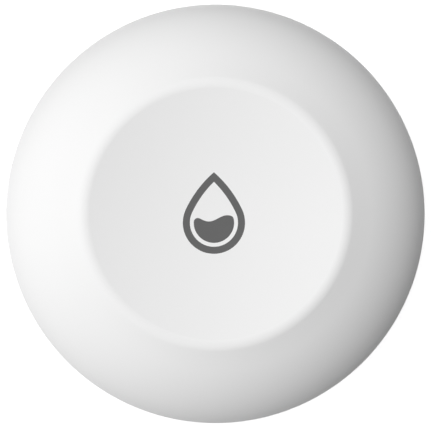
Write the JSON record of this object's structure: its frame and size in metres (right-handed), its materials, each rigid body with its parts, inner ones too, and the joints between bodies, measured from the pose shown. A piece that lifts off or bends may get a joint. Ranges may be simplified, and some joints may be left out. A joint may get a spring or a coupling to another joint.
{
  "type": "water leak sensor",
  "caption": "Round pebble-shaped water leak sensor: domed cover, shallow press dish with a drop sign, coin-slot battery door, feet and metal probes underneath.",
  "frame": {"origin": "on the floor under the centre of the body", "axes": "+Z up; seen from above as in the picture, +X is to the right and +Y up, where the drop's tip points"},
  "size_m": [0.05, 0.05, 0.015],
  "materials": {
    "shell_white": "fine matt moulded plastic",
    "web_white": "soft matt elastomer",
    "symbol_grey": "flat dark grey",
    "gasket_grey": "silicone",
    "seal_black": "silicone",
    "foot_grey": "matt silicone",
    "probe_steel": "turned stainless steel",
    "screw_steel": "zinc plated",
    "standoff_brass": "turned brass",
    "board_green": "solder mask",
    "chip_black": "moulded epoxy",
    "sheet_nickel": "nickel plated sheet",
    "track_copper": "printed copper track",
    "chip_tan": "ceramic",
    "light_ivory": "clear resin over a pale body",
    "stem_ivory": "moulded plastic",
    "cell_steel": "nickel plated steel",
    "cell_filling": "pressed pellet",
    "cushion_grey": "closed foam"
  },
  "bodies": {
    "housing": {"top_cover": "shell_white", "base_shell": "shell_white", "flex_web": "web_white", "housing_gasket": "gasket_grey", "probe_seals": "seal_black", "foot_pads": "foot_grey", "left_probe": "probe_steel", "right_probe": "probe_steel", "case_screws": "screw_steel", "probe_standoffs": "standoff_brass", "circuit_board": "board_green", "radio_chip": "chip_black", "switch_body": "chip_black", "cell_gasket": "chip_black", "crystal": "sheet_nickel", "switch_legs": "sheet_nickel", "switch_dome": "sheet_nickel", "positive_clips": "sheet_nickel", "negative_leaf": "sheet_nickel", "antenna": "track_copper", "chip_capacitors": "chip_tan", "status_led": "light_ivory", "cell_can": "cell_steel", "cell_cap": "cell_steel", "cell_core": "cell_filling"},
    "press_button": {"press_pad": "shell_white", "drop_symbol": "symbol_grey"},
    "switch_plunger": {"switch_stem": "stem_ivory"},
    "seal_ring": {"door_seal": "seal_black"},
    "door": {"battery_door": "shell_white", "cell_cushion": "cushion_grey"}
  },
  "joints": [
    {"name": "button_press", "type": "slide", "parent": "housing", "child": "press_button", "axis": [0, 0, -1], "range_m": [0, 0.0003], "stiffness_N_per_m": 5000, "deforming": ["flex_web", "switch_dome"]},
    {"name": "switch_press", "type": "slide", "parent": "housing", "child": "switch_plunger", "axis": [0, 0, -1], "range_m": [0, 0.0003]},
    {"name": "door_draw", "type": "slide", "parent": "housing", "child": "seal_ring", "axis": [0, 0, -1], "range_m": [0, 0.0008]},
    {"name": "door_twist", "type": "hinge", "parent": "seal_ring", "child": "door", "pos_m": [0, 0, 0], "axis": [0, 0, -1], "range_deg": [0, 60]}
  ],
  "couplings": [
    {"joint": "switch_press", "follows": "button_press", "ratio": 1},
    {"joint": "door_twist", "follows": "door_draw", "rad_per_m": 1309}
  ]
}
